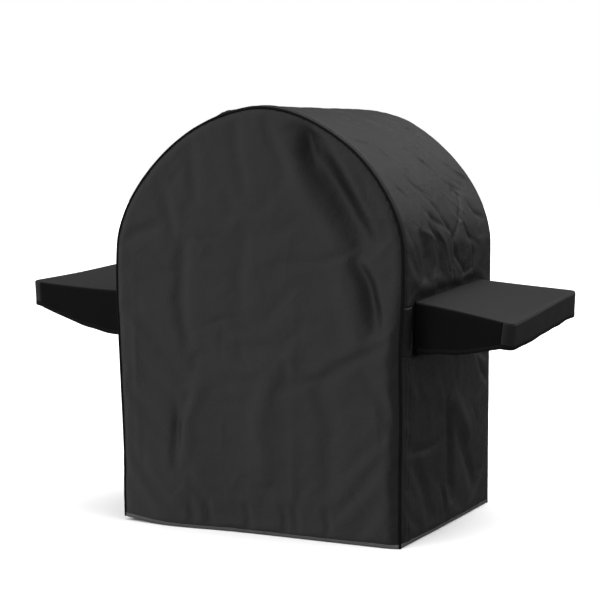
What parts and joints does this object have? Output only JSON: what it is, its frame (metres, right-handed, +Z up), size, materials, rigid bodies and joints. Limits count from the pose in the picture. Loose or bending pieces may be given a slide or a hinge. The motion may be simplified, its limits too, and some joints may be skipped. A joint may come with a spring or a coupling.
{
  "type": "grill cover",
  "caption": "Fitted black cloth cover with a barrel top for a grill cart, with a boxed pocket over each side shelf and a side flap that opens below it.",
  "frame": {"origin": "on the ground, at the middle of the cover's box in plan", "axes": "+Z up; the arched front panel faces -Y; the shelf pockets stand out to +X and -X, and right means +X, as seen by someone who faces the front"},
  "size_m": [1.633, 0.74, 1.28],
  "materials": {
    "black_cloth": "black woven polyester with a satin coating",
    "black_piping": "black woven tape folded over a cord",
    "black_binding": "black folded tape",
    "grey_binding": "light grey folded tape",
    "hook_and_loop": "black nylon hook and loop tape",
    "seam_seal": "grey translucent heat-sealed tape"
  },
  "bodies": {
    "cover": {"crown_panel": "black_cloth", "front_hem_binding": "grey_binding", "front_panel": "black_cloth", "front_piping": "black_piping", "front_seam_tape": "seam_seal", "left_flap_facing": "black_cloth", "left_front_cheek": "black_cloth", "left_loop_tape": "hook_and_loop", "left_rear_cheek": "black_cloth", "left_wing_end_skirt": "black_cloth", "left_wing_front_skirt": "black_cloth", "left_wing_hem_tape": "black_binding", "left_wing_piping": "black_piping", "left_wing_rear_skirt": "black_cloth", "left_wing_top": "black_cloth", "rear_hem_binding": "grey_binding", "rear_panel": "black_cloth", "rear_piping": "black_piping", "rear_seam_tape": "seam_seal", "right_flap_facing": "black_cloth", "right_front_cheek": "black_cloth", "right_loop_tape": "hook_and_loop", "right_rear_cheek": "black_cloth", "right_wing_end_skirt": "black_cloth", "right_wing_front_skirt": "black_cloth", "right_wing_hem_tape": "black_binding", "right_wing_piping": "black_piping", "right_wing_rear_skirt": "black_cloth", "right_wing_top": "black_cloth"},
    "right_flap": {"right_flap_hem_binding": "grey_binding", "right_hook_tape": "hook_and_loop", "right_side_flap": "black_cloth"},
    "left_flap": {"left_flap_hem_binding": "grey_binding", "left_hook_tape": "hook_and_loop", "left_side_flap": "black_cloth"}
  },
  "joints": [
    {"name": "right_flap_hinge", "type": "hinge", "parent": "cover", "child": "right_flap", "pos_m": [0.461, 0.366, 0], "axis": [0, 0, 1], "range_deg": [0, 180]},
    {"name": "left_flap_hinge", "type": "hinge", "parent": "cover", "child": "left_flap", "pos_m": [-0.461, 0.366, 0], "axis": [0, 0, -1], "range_deg": [0, 180]}
  ]
}
